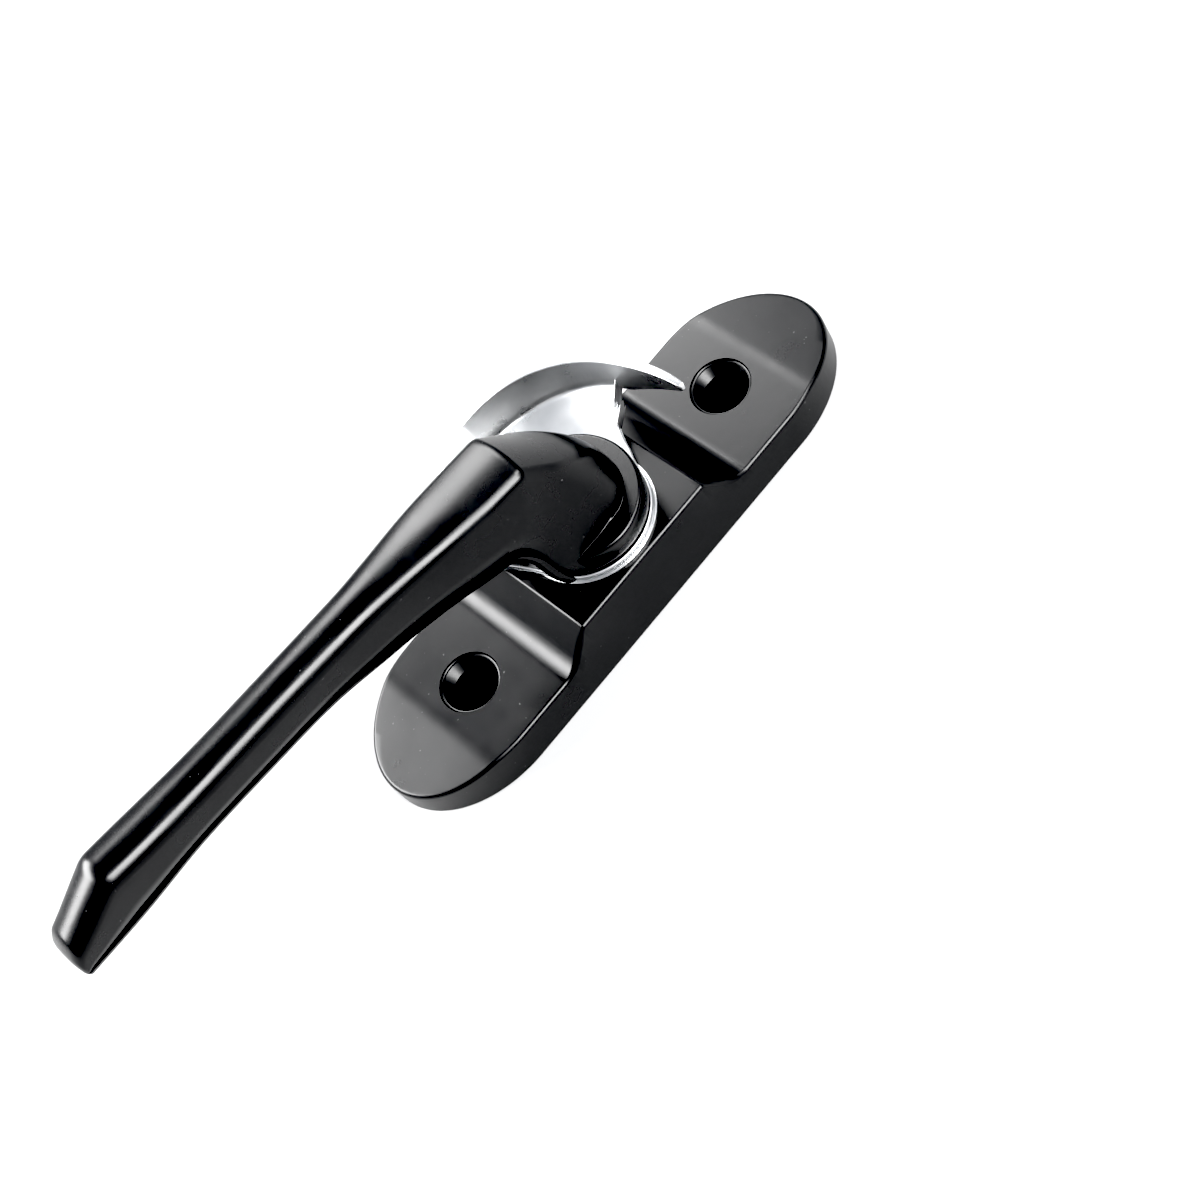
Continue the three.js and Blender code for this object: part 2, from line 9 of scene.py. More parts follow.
import bmesh
import bpy
import numpy as np
from mathutils import Euler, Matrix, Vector


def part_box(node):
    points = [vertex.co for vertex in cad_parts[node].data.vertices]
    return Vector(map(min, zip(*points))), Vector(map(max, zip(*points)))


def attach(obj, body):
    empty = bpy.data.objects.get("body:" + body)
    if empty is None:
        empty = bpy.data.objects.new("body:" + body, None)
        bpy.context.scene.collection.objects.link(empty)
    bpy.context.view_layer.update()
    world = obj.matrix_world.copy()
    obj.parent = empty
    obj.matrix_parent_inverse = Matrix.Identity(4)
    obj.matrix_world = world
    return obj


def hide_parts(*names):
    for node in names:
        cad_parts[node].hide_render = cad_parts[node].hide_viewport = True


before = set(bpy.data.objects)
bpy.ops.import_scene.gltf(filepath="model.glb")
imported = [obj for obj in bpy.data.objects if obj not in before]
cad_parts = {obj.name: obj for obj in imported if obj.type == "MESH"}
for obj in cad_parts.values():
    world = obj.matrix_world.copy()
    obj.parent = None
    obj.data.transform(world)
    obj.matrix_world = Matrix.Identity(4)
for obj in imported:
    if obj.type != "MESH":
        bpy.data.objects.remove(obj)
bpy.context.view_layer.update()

MM = 0.001


def box_mm(node):
    low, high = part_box(node)
    return np.array(low) / MM, np.array(high) / MM


# Sizes taken from the frame
BASE_LOW, BASE_HIGH = box_mm("base_housing")
CAM_LOW, CAM_HIGH = box_mm("crescent_cam")
LEVER_LOW = box_mm("handle_lever")[0]
HOLE_X = 25.0  # the screw holes stand this far to each side of the pivot


# Small tools for shapes
def smoothstep(x, low, high):
    t = np.clip((x - low) / (high - low), 0, 1)
    return t * t * (3 - 2 * t)


def catmull_rom(points, count):
    """A smooth curve through the points, as count samples with as many in every span."""
    p = np.array(points, float)
    padded = np.vstack([p[0], p, p[-1]])
    t = np.linspace(0, len(p) - 1, count)
    i = np.minimum(t.astype(int), len(p) - 2)
    u = (t - i)[:, None]
    a, b, c, d = padded[i], padded[i + 1], padded[i + 2], padded[i + 3]
    v0, v1 = (c - a) / 2, (d - b) / 2
    return (2 * b - 2 * c + v0 + v1) * u**3 + (-3 * b + 3 * c - 2 * v0 - v1) * u**2 + v0 * u + b


def through(points):
    """The value at any x of a smooth curve through [x, value] points."""
    curve = catmull_rom(sorted(points), 600)
    return lambda x: np.interp(x, curve[:, 0], curve[:, 1])


def softened(line, x, reach):
    """A broken line with its corners rounded over reach to each side."""
    steps = np.linspace(-1, 1, 9)
    return float(np.mean([line(x + reach * s) for s in steps]))


def quarter(steps):
    """Pairs (1 - cos, 1 - sin) for a quarter round, from its side to its top."""
    angles = np.linspace(0, math.pi / 2, steps)
    return [(1 - math.cos(a), 1 - math.sin(a)) for a in angles]


def polar(radius, degrees):
    return radius * math.cos(math.radians(degrees)), radius * math.sin(math.radians(degrees))


# Small tools for meshes
WELD = 1e-7  # points nearer to each other than this, in metres, are one
FLAT_FACE_WEIGHT = 80  # how far large faces win over small ones in the shading


def mesh_object(name, vertices, faces):
    mesh = bpy.data.meshes.new(name)
    mesh.from_pydata([tuple(v) for v in np.array(vertices, float) * MM], [], faces)
    bm = bmesh.new()
    bm.from_mesh(mesh)
    bmesh.ops.remove_doubles(bm, verts=bm.verts, dist=WELD)
    bmesh.ops.dissolve_degenerate(bm, edges=bm.edges, dist=WELD)
    bmesh.ops.recalc_face_normals(bm, faces=bm.faces)
    bm.to_mesh(mesh)
    bm.free()
    piece = bpy.data.objects.new(name, mesh)
    bpy.context.collection.objects.link(piece)
    return piece


def skin(name, sections, closed=False):
    """A skin over sections with as many points each; closed joins the last one to the first."""
    rows, count = len(sections), len(sections[0])
    faces = []
    for i in range(rows if closed else rows - 1):
        j = (i + 1) % rows
        for k in range(count):
            m = (k + 1) % count
            faces.append((i * count + k, i * count + m, j * count + m, j * count + k))
    if not closed:
        faces.append(tuple(range(count))[::-1])
        faces.append(tuple((rows - 1) * count + k for k in range(count)))
    return mesh_object(name, [p for section in sections for p in section], faces)


def lathe(name, profile, centre=(0, 0), steps=96):
    """A solid of revolution about an upright axis, where its [radius, z] profile starts and ends."""
    count = len(profile)
    vertices = []
    faces = []
    for i in range(steps):
        c, s = polar(1, 360 * i / steps)
        vertices += [(centre[0] + r * c, centre[1] + r * s, z) for r, z in profile]
        here, following = i * count, (i + 1) % steps * count
        for k in range(count - 1):
            faces.append((here + k, here + k + 1, following + k + 1, following + k))
    return mesh_object(name, vertices, faces)


def prism(name, outline, low, high):
    return skin(name, [[(x, y, z) for x, y in outline] for z in (low, high)])


def combine(piece, other, operation):
    """Joins or cuts piece with other, which is used up."""
    modifier = piece.modifiers.new("combine", "BOOLEAN")
    modifier.operation = operation
    modifier.object = other
    modifier.solver = "EXACT"
    graph = bpy.context.evaluated_depsgraph_get()
    made = bpy.data.meshes.new_from_object(piece.evaluated_get(graph))
    piece.modifiers.clear()
    piece.data = made
    bpy.data.objects.remove(other)
    return piece


def smooth_by_angle(piece, degrees):
    """Smooth shading that stays crisp across sharper edges than this and flat on large faces."""
    for polygon in piece.data.polygons:
        polygon.use_smooth = True
    piece.data.set_sharp_from_angle(angle=math.radians(degrees))
    weighted = piece.modifiers.new("weighted", "WEIGHTED_NORMAL")
    weighted.keep_sharp = True
    weighted.weight = FLAT_FACE_WEIGHT


def finish_piece(piece, body, node, material, degrees):
    """Gives a piece its material and shading, and puts it in its node's place on its body."""
    piece.data.name = piece.name
    piece.data.materials.clear()
    piece.data.materials.append(material)
    smooth_by_angle(piece, degrees)
    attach(piece, body)
    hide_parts(node)


# Camera and light
CAMERA_AT = (-0.0399, -0.1580, 0.2405)
CAMERA_TURN = (27.13, 20.69, -46.86)  # degrees about X, Y and Z
CAMERA_LENS = 67.14
BLACK_LEVEL = 0.048  # levels of the picture, as a photograph's are set: what is printed black
WHITE_LEVEL = 0.72  # and what is printed white
LIGHT_DISTANCE = 1.1
SOFTBOXES = [  # name, direction from the lock, size in metres, brightness
    ("left_box", (-0.53, 0.62, 0.54), (0.95, 0.5), 16),
    ("back_box", (0.31, 0.70, 0.66), (0.55, 0.46), 10),
    ("front_box", (0.14, -0.70, 0.70), (0.5, 0.66), 18),
    ("top_box", (0.45, -0.28, 0.85), (0.5, 0.4), 12),
]
FLOOR_HALF = 900.0
# Size and height of the dark mat under the base: a sheet of painted shade, seen through the screw holes
SHADE_MAT_HALF = (33.0, 7.0)
SHADE_MAT_HEIGHT = 0.05
WORLD_COLOR = (0.92, 0.95, 1.0, 1)
WORLD_STRENGTH = 0.6


def add_camera():
    data = bpy.data.cameras.new("camera")
    data.lens = CAMERA_LENS
    data.sensor_width = 36
    data.clip_start = 0.01
    camera = bpy.data.objects.new("camera", data)
    camera.location = CAMERA_AT
    camera.rotation_euler = Euler([math.radians(a) for a in CAMERA_TURN])
    bpy.context.collection.objects.link(camera)
    bpy.context.scene.camera = camera


def add_softbox(name, direction, size, brightness):
    """A rectangular light facing the lock; brightness is what a mirror would show of it."""
    data = bpy.data.lights.new(name, "AREA")
    data.shape = "RECTANGLE"
    data.size, data.size_y = size
    data.energy = brightness * math.pi * size[0] * size[1]
    lamp = bpy.data.objects.new(name, data)
    lamp.location = Vector(direction).normalized() * LIGHT_DISTANCE
    lamp.rotation_euler = Vector(direction).to_track_quat("Z", "Y").to_euler()
    bpy.context.collection.objects.link(lamp)


def add_world():
    world = bpy.data.worlds.new("studio")
    world.use_nodes = True
    background = world.node_tree.nodes["Background"]
    background.inputs["Color"].default_value = WORLD_COLOR
    background.inputs["Strength"].default_value = WORLD_STRENGTH
    bpy.context.scene.world = world


def set_levels():
    view = bpy.context.scene.view_settings
    view.view_transform = "Standard"
    view.use_curve_mapping = True
    view.curve_mapping.black_level = (BLACK_LEVEL,) * 3
    view.curve_mapping.white_level = (WHITE_LEVEL,) * 3
    view.curve_mapping.update()


def sheet(name, half_x, half_y, centre_y, z):
    low, high = centre_y - half_y, centre_y + half_y
    corners = [(-half_x, low, z), (half_x, low, z), (half_x, high, z), (-half_x, high, z)]
    return mesh_object(name, corners, [(0, 1, 2, 3)])


def add_floor():
    floor = sheet("floor", FLOOR_HALF, FLOOR_HALF, 0, 0)
    floor.data.materials.append(floor_material())


def add_painted_shade_mat():
    """A dark mat under the base, inside its outline: painted shade, a black sheet that shows through the
    screw holes where the hollow under the base would be in shadow.
    """
    shade_sheet = sheet("painted_shade_mat", *SHADE_MAT_HALF, BASE_CENTRE_Y, SHADE_MAT_HEIGHT)
    shade_sheet.data.materials.append(painted_shade_material())


# Materials
FLOOR_GREYS = (0.36,) * 3, (0.38,) * 3
# Painted shade: the near-black colours of the mat under the base, standing in for the shadow seen through
# the screw holes
PAINTED_SHADE_BLACKS = (0.001,) * 3, (0.003,) * 3
PAINT_BLACKS = (0.002, 0.002, 0.0022), (0.0035, 0.0035, 0.0037)
PAINT_IOR = 1.45
DUST = (0.07, 0.07, 0.07, 1)
PLATING_GREYS = (0.62, 0.625, 0.63), (0.71, 0.715, 0.72)
NYLON_CREAMS = (0.70, 0.68, 0.61), (0.78, 0.76, 0.70)
METALS = {  # darker and lighter colour, smoothest and roughest, grain in cycles per metre
    "zinc_plated_steel": ((0.46, 0.47, 0.49), (0.60, 0.61, 0.63), 0.26, 0.42, 500),
    "spring_steel": ((0.20, 0.205, 0.22), (0.32, 0.325, 0.34), 0.3, 0.45, 600),
    "turned_brass": ((0.50, 0.36, 0.14), (0.66, 0.50, 0.22), 0.2, 0.34, 700),
}


def new_material(name):
    material = bpy.data.materials.new(name)
    material.use_nodes = True
    tree = material.node_tree
    return material, tree, tree.nodes["Principled BSDF"]


def noise(tree, scale, detail=3.0, roughness=0.55):
    """Fine noise in the object's own metres; scale is in cycles per metre."""
    where = tree.nodes.new("ShaderNodeTexCoord")
    node = tree.nodes.new("ShaderNodeTexNoise")
    node.inputs["Scale"].default_value = scale
    node.inputs["Detail"].default_value = detail
    node.inputs["Roughness"].default_value = roughness
    tree.links.new(where.outputs["Object"], node.inputs["Vector"])
    return node.outputs["Fac"]


def spread(tree, value, low, high, from_low=0.3, from_high=0.7):
    node = tree.nodes.new("ShaderNodeMapRange")
    node.inputs["From Min"].default_value = from_low
    node.inputs["From Max"].default_value = from_high
    node.inputs["To Min"].default_value = low
    node.inputs["To Max"].default_value = high
    tree.links.new(value, node.inputs["Value"])
    return node.outputs["Result"]


def ramp(tree, value, dark, light, low=0.3, high=0.7):
    node = tree.nodes.new("ShaderNodeValToRGB")
    node.color_ramp.elements[0].position = low
    node.color_ramp.elements[0].color = (*dark, 1)
    node.color_ramp.elements[1].position = high
    node.color_ramp.elements[1].color = (*light, 1)
    tree.links.new(value, node.inputs["Fac"])
    return node.outputs["Color"]


def bump(tree, shader, height, strength, distance):
    node = tree.nodes.new("ShaderNodeBump")
    node.inputs["Strength"].default_value = strength
    node.inputs["Distance"].default_value = distance
    tree.links.new(height, node.inputs["Height"])
    tree.links.new(node.outputs["Normal"], shader.inputs["Normal"])


def floor_material():
    material, tree, shader = new_material("pale_floor")
    tree.links.new(ramp(tree, noise(tree, 6), *FLOOR_GREYS), shader.inputs["Base Color"])
    shader.inputs["Roughness"].default_value = 0.9
    shader.inputs["Specular IOR Level"].default_value = 0.1
    return material


def painted_shade_material():
    # Painted shade: a near-black, matt sheet that makes the screw holes look dark
    material, tree, shader = new_material("painted_shade_mat")
    tree.links.new(ramp(tree, noise(tree, 300), *PAINTED_SHADE_BLACKS), shader.inputs["Base Color"])
    shader.inputs["Roughness"].default_value = 1
    shader.inputs["Specular IOR Level"].default_value = 0
    return material


def paint_material(name, gloss):
    """Satin black paint on a casting: a faint orange peel, cloudy gloss and a few specks of dust."""
    material, tree, shader = new_material(name)
    clouds = noise(tree, 160, 4)
    specks = noise(tree, 2600, 1, 0.3)
    paint = ramp(tree, clouds, *PAINT_BLACKS)
    dust = spread(tree, specks, 0, 1, 0.79, 0.83)
    mix = tree.nodes.new("ShaderNodeMix")
    mix.data_type = "RGBA"
    tree.links.new(dust, mix.inputs["Factor"])
    tree.links.new(paint, mix.inputs["A"])
    mix.inputs["B"].default_value = DUST
    tree.links.new(mix.outputs["Result"], shader.inputs["Base Color"])
    tree.links.new(spread(tree, clouds, gloss - 0.03, gloss + 0.04), shader.inputs["Roughness"])
    shader.inputs["IOR"].default_value = PAINT_IOR
    bump(tree, shader, noise(tree, 900, 2), 0.12, 0.00004)
    return material


def plating_material():
    """Bright plating on a casting: a soft mirror with a little haze and a faint unevenness."""
    material, tree, shader = new_material("bright_plating")
    haze = noise(tree, 220, 4)
    tree.links.new(ramp(tree, haze, *PLATING_GREYS), shader.inputs["Base Color"])
    tree.links.new(spread(tree, haze, 0.26, 0.33), shader.inputs["Roughness"])
    shader.inputs["Metallic"].default_value = 1
    bump(tree, shader, noise(tree, 420, 2), 0.08, 0.00005)
    return material


def metal_material(name, dark, light, low, high, grain):
    """Plain worked metal: colour and gloss both follow one noise of the given grain."""
    material, tree, shader = new_material(name)
    marks = noise(tree, grain, 5, 0.6)
    tree.links.new(ramp(tree, marks, dark, light), shader.inputs["Base Color"])
    tree.links.new(spread(tree, marks, low, high), shader.inputs["Roughness"])
    shader.inputs["Metallic"].default_value = 1
    bump(tree, shader, noise(tree, grain * 3, 2), 0.15, 0.00003)
    return material


def nylon_material():
    material, tree, shader = new_material("nylon")
    marks = noise(tree, 700, 3)
    tree.links.new(ramp(tree, marks, *NYLON_CREAMS), shader.inputs["Base Color"])
    tree.links.new(spread(tree, marks, 0.45, 0.6), shader.inputs["Roughness"])
    shader.inputs["Subsurface Weight"].default_value = 0.1
    return material


# Base housing
BASE_CENTRE_Y = (BASE_LOW[1] + BASE_HIGH[1]) / 2
BASE_HALF = (BASE_HIGH[1] - BASE_LOW[1]) / 2
BASE_END = BASE_HIGH[0]
BASE_STRAIGHT = 26.0  # half length of the parallel sides
PAD_TOP = 6.3
BLOCK_TOP = BASE_HIGH[2]
BASE_LINE = [  # the upper side from the pivot outwards, the same to both sides
    (0, BLOCK_TOP),
    (11.5, BLOCK_TOP),
    (16.1, PAD_TOP),
    (31, PAD_TOP),
    (BASE_END + 1, PAD_TOP - 2.2),
]
BASE_ROUNDING = [0, 0.2, 1.6, 0.9, 0]  # of each corner of that line
BASE_EDGE = 0.52  # rounding along the upper edges
BASE_FOOT = 0.15  # and along the lower ones
SLOPE_EDGE = 0.95  # the slopes' side edges are rounder
SLOPE_FROM = (11.5, 13)  # over this stretch they get rounder
SLOPE_TO = (15, 17)  # and over this one less round again
POCKET = [(-1, 14), (5.5, 14), (8.8, 11.2)]  # the mechanism pocket's half length, by height
POCKET_CORNER = 0.8
CASTING_WALL = 2
BOSS_X = 11.7  # the retainer plate's screws go into bosses this far from the pivot
BOSS = [(0, 2.1), (2.0, 2.1), (2.2, 2.3), (2.2, 8), (0, 8)]
BOSS_BORE = [(0, 1), (1.18, 1), (1.18, 7), (0, 7)]
PIVOT_BORE = [(0, 7), (5.08, 7), (5.08, 10.82), (7.5, 10.82), (7.5, 14), (0, 14)]


def base_height(x):
    x = abs(x)
    corners, heights = zip(*BASE_LINE)
    nearest = min(range(len(corners)), key=lambda i: abs(corners[i] - x))
    return softened(lambda u: np.interp(u, corners, heights), x, BASE_ROUNDING[nearest])


def base_edge(x):
    x = abs(x)
    rise, fall = smoothstep(x, *SLOPE_FROM), smoothstep(x, *SLOPE_TO)
    return BASE_EDGE + (SLOPE_EDGE - BASE_EDGE) * rise * (1 - fall)


def base_stations():
    """Points of the outline's upper half from end to end, as (x, half width, outward normal)."""
    corners = [x for x, _ in BASE_LINE[1:3]]
    places = [c + r * s for c, r in zip(corners, BASE_ROUNDING[1:3]) for s in np.linspace(-1.3, 1.3, 15)]
    for low, high, count in [(0, 11, 8), (12, 15, 8), (17.5, BASE_STRAIGHT, 9)]:
        places += list(np.linspace(low, high, count))
    straight = [(x, BASE_HALF, (0.0, 1.0)) for x in sorted(set(np.round(places, 4)))]
    reach = BASE_END - BASE_STRAIGHT
    end = []
    for angle in np.linspace(90, 0, 49)[1:]:
        c, s = polar(1, angle)
        normal = np.array([c / reach, s / BASE_HALF])
        end.append((BASE_STRAIGHT + reach * c, BASE_HALF * s, tuple(normal / np.linalg.norm(normal))))
    half = straight + end
    mirrored = [(-x, w, (-nx, ny)) for x, w, (nx, ny) in half[:0:-1]]
    return mirrored + half


def base_section(x, half, normal):
    """A closed loop round the base: up one side, over the top, down the other and back below."""
    edge = base_edge(x)
    rim = [(BASE_FOOT, 0.0), (0.0, BASE_FOOT)]
    for z in np.linspace(0.25, 0.75, 3):
        rim.append((0.0, z * (base_height(x) - edge)))
    upper = []
    for inset, z in rim:
        upper.append((x - normal[0] * inset, max(half - normal[1] * inset, 0), z))
    for across, drop in quarter(8):
        px = x - normal[0] * edge * across
        upper.append((px, max(half - normal[1] * edge * across, 0), base_height(px) - edge * drop))
    px, py, pz = upper[-1]
    top = [(px, py * s, pz) for s in np.linspace(0.8, -0.8, 9)]
    lower = [(a, -b, c) for a, b, c in reversed(upper)]
    bx, by, bz = upper[0]
    under = [(bx, by * s, bz) for s in np.linspace(-0.8, 0.8, 9)]
    return [(a, b + BASE_CENTRE_Y, c) for a, b, c in upper + top + lower + under]


def screw_hole(sign):
    rim, bore, depth, flare = 4.05, 2.75, 1.5, 0.4
    profile = [(0, -1), (bore, -1), (bore, PAD_TOP - depth)]
    profile += [(rim - flare * 0.6, PAD_TOP - flare)]
    for across, drop in quarter(6)[1:]:
        profile.append((rim - flare * 0.6 + flare * (1 - drop), PAD_TOP - flare + flare * across))
    profile += [(rim + flare * 0.4, PAD_TOP + 2), (0, PAD_TOP + 2)]
    return lathe("screw_hole", profile, (sign * HOLE_X, BASE_CENTRE_Y))


def rounded_rectangle(half_x, half_y, corner, steps=6):
    outline = []
    for turn, (sx, sy) in enumerate([(1, 1), (-1, 1), (-1, -1), (1, -1)]):
        for angle in np.linspace(90 * turn, 90 * turn + 90, steps):
            c, s = polar(corner, angle)
            outline.append((sx * (half_x - corner) + c, sy * (half_y - corner) + s))
    return outline


def mechanism_pocket():
    """The hollow under the block, narrower above its shoulder."""
    half_y = BASE_HALF - CASTING_WALL
    sections = []
    for z, half_x in POCKET:
        loop = rounded_rectangle(half_x, half_y, POCKET_CORNER)
        sections.append([(x, y + BASE_CENTRE_Y, z) for x, y in loop])
    return skin("pocket", sections)


def end_pocket(sign):
    """The shallow hollow under one end, with a boss left round the screw hole."""
    start, roof, boss = 17.5, 3, 5.4
    reach, half = BASE_END - BASE_STRAIGHT - CASTING_WALL, BASE_HALF - CASTING_WALL
    outline = [(start, -half)]
    for angle in np.linspace(-90, 90, 41):
        c, s = polar(1, angle)
        outline.append((BASE_STRAIGHT + reach * c, half * s))
    outline.append((start, half))
    outline = [(sign * x, y + BASE_CENTRE_Y) for x, y in outline[::sign]]
    pocket = prism("end_pocket", outline, -1, roof)
    profile = [(0, -2), (boss, -2), (boss, roof + 1), (0, roof + 1)]
    return combine(pocket, lathe("boss", profile, (sign * HOLE_X, BASE_CENTRE_Y)), "DIFFERENCE")


def make_base(paint):
    base = skin("base_casting", [base_section(*station) for station in base_stations()])
    for sign in (1, -1):
        combine(base, screw_hole(sign), "DIFFERENCE")
        combine(base, end_pocket(sign), "DIFFERENCE")
    combine(base, mechanism_pocket(), "DIFFERENCE")
    for sign in (1, -1):
        centre = (sign * BOSS_X, BASE_CENTRE_Y)
        combine(base, lathe("boss", BOSS, centre, 48), "UNION")
        combine(base, lathe("bore", BOSS_BORE, centre, 48), "DIFFERENCE")
    combine(base, lathe("pivot_bore", PIVOT_BORE), "DIFFERENCE")
    finish_piece(base, "base", "base_housing", paint, 32)


# Crescent cam
CAM = {
    "bottom": CAM_LOW[2],
    "disc_top": 12.9,
    "disc_radius": 8.85,
    "wall_radius": 18.35,
    "wall_growth": 0.4,
    "wall_thick": 1.3,
    "wall_top": CAM_HIGH[2],
    "floor_low": 14.6,
    "floor_high": 16.6,
    "plate": 1.9,
    "fillet": 0.8,
    "dish_inset": 0.4,
}
RAMP = (19, 75)  # degrees over which the floor's foot falls
TAIL = (94, 158)  # degrees where the wall starts to curl in, and where it ends
HORN = (-12, 1.1, 19.3)  # the horn's angle, how far its tip flares out, and its lower edge at the tip
HORN_TAPER = 0.5  # how much thinner and lower the horn is at its tip
NOTCH = [(15.6, 5.9), (12.7, 6.2), (11.3, 4.2), (10.3, 1.6)]  # a curve in from the horn's root
NOTCH_FOOT = [(9.6, 0.3), (9.1, -0.8), (8.8, -1.8)]  # and on to the disc's edge
TAIL_CURVE = [(-11.0, 3.6), (-9.9, 1.4), (-8.8, -1.6)]  # from the wall's end to the disc's edge
FREE_EDGE = 0.3  # rounding of the floor's edge where no wall stands on it
SQUARE_HALF = 2.92  # half of the square bore


def floor_foot(degrees):
    return CAM["floor_high"] + (CAM["floor_low"] - CAM["floor_high"]) * smoothstep(degrees, *RAMP)


def wall_outer(degrees):
    grown = CAM["wall_growth"] * smoothstep(degrees, *RAMP)
    return CAM["wall_radius"] + grown - 0.057 * max(0, degrees - TAIL[0])


def bezier(points, count):
    a, b, c, d = np.array(points, float)
    t = np.linspace(0, 1, count)[:, None]
    return (1 - t) ** 3 * a + 3 * t * (1 - t) ** 2 * b + 3 * t**2 * (1 - t) * c + t**3 * d


def floor_rim():
    """Radius of the floor's outer boundary by angle, from the horn's root round the wall to the tail."""
    start = polar(wall_outer(TAIL[1]) - CAM["wall_thick"] - 0.3, TAIL[1])
    tail = bezier([start, *TAIL_CURVE], 24)
    table = [(math.degrees(math.atan2(y, x)) % 360, float(np.hypot(x, y))) for x, y in tail]
    for x, y in [*bezier(NOTCH, 24), *NOTCH_FOOT]:
        angle = math.degrees(math.atan2(y, x))
        table.append((angle + 360, float(np.hypot(x, y))))
        table.append((angle, float(np.hypot(x, y))))
    root, last = math.degrees(math.atan2(NOTCH[0][1], NOTCH[0][0])), TAIL[1]
    for angle in np.linspace(root + 1.5, last - 0.5, 80):
        table.append((angle, wall_outer(angle) - CAM["wall_thick"] / 2))
    table.sort()
    angles, radii = zip(*table)
    return lambda a: max(CAM["disc_radius"], float(np.interp(a, angles, radii)))


def floor_heights(degrees, walled):
    """The dished top's and the underside's height at any radius, at this angle."""
    start = CAM["disc_radius"] - CAM["dish_inset"]
    middle = wall_outer(min(degrees, TAIL[1])) - CAM["wall_thick"] / 2
    foot = floor_foot(degrees)

    def share(r):
        return np.clip((r - start) / (middle - start), 0, 1)

    def top(r):
        return CAM["disc_top"] + (foot - CAM["disc_top"]) * share(r) ** 1.2

    def under(r):
        sink = 0.45 * (1 - share(r))
        return max(CAM["bottom"], top(r) - CAM["plate"] + sink + 0.03 * walled)

    return top, under


def floor_edge(degrees, reach, rim):
    """Rounding of the free edge, wider where the edge runs aslant to the section."""
    slant = (rim(degrees + 0.5) - rim(degrees - 0.5)) / (2 * reach * math.radians(0.5))
    free = FREE_EDGE * min(math.sqrt(1 + slant**2), 2.5)
    return min(free, (reach - SQUARE_HALF) / 4)


def floor_section(degrees, rim):
    """From the square bore out along the underside, round the edge and back over the top."""
    reach = rim(degrees)
    edge = floor_edge(degrees, reach, rim)
    walled = smoothstep(degrees, 21, 23) * (1 - smoothstep(degrees, TAIL[1] - 2, TAIL[1]))
    top, under = floor_heights(degrees, walled)
    length = walled * (CAM["fillet"] + CAM["wall_thick"] / 2) + (1 - walled) * edge
    flat = reach - length
    start = CAM["disc_radius"] - CAM["dish_inset"]
    inner = SQUARE_HALF / max(abs(c) for c in polar(1, degrees))
    loop = [(inner, CAM["bottom"])] + [(r, under(r)) for r in np.linspace(start, reach - edge, 14)]
    for across, drop in [(a, d) for d, a in quarter(5)][::-1][1:]:
        loop.append((reach - edge * across, under(reach - edge) + edge * drop))
    for across, drop in quarter(9):
        free_r = reach - edge * across
        r = reach - length * across
        turn = min(1, (r - flat) / CAM["fillet"])
        rise = CAM["fillet"] * (1 - math.sqrt(max(0, 1 - turn**2)))
        wall_z = top(min(r, reach)) + rise
        free_z = top(free_r) - edge * drop
        loop.append((walled * r + (1 - walled) * free_r, walled * wall_z + (1 - walled) * free_z))
    loop += [(r, top(r)) for r in np.linspace(flat, start, 16)[1:]]
    loop.append((inner, CAM["disc_top"]))
    return [(*polar(r, degrees), z) for r, z in loop]


def wall_section(degrees, inset):
    """The crescent wall's upright section with its corners rounded, drawn in by inset."""
    flare_angle, flare, horn_bottom = HORN
    out = max(0, (RAMP[0] - degrees) / (RAMP[0] - flare_angle))
    low = floor_foot(degrees) - CAM["plate"] * (1 - out) + (horn_bottom - CAM["floor_high"]) * out**1.3
    outer = wall_outer(degrees) + flare * out**1.5 - inset
    inner = outer + 2 * inset - CAM["wall_thick"] + HORN_TAPER * out**3
    high = CAM["wall_top"] - HORN_TAPER * out**3 - inset
    low = low + inset
    r = min(0.2, (outer - inner) / 3)
    corners = [(inner, low, 1, 1), (inner, high, 1, -1), (outer, high, -1, -1), (outer, low, -1, 1)]
    loop = []
    for i, (x, z, sx, sz) in enumerate(corners):
        arc = [(x + sx * r * a, z + sz * r * d) for a, d in quarter(5)]
        loop += arc[::-1] if i % 2 == 0 else arc
    return [(*polar(radius, degrees), z) for radius, z in loop]


def rounded_ends(low, high, count, reach, inset):
    """Stations from low to high with how far the section draws in near each rounded end."""
    ends = [1 - math.cos(a) for a in np.linspace(0, math.pi / 2, 6)]
    drawn = [(reach * e, inset * (1 - math.sqrt(1 - (1 - e) ** 2))) for e in ends[:-1]]
    middle = [(a, 0.0) for a in np.linspace(low + reach, high - reach, count)]
    first = [(low + along, by) for along, by in drawn]
    return first + middle + [(high - along, by) for along, by in reversed(drawn)]


def make_cam(plating):
    rim = floor_rim()
    angles = []
    for low, high, step in [(-4, 24, 0.5), (24, 154, 2.0), (154, 194, 1.0), (194, 356, 3.0)]:
        angles += list(np.arange(low, high, step))
    cam = skin("cam_plate", [floor_section(a, rim) for a in angles], closed=True)
    stations = rounded_ends(HORN[0], TAIL[1], 150, 1.2, 0.3)
    wall = skin("wall", [wall_section(a, inset) for a, inset in stations])
    combine(cam, wall, "UNION")
    finish_piece(cam, "turning_lever", "crescent_cam", plating, 38)


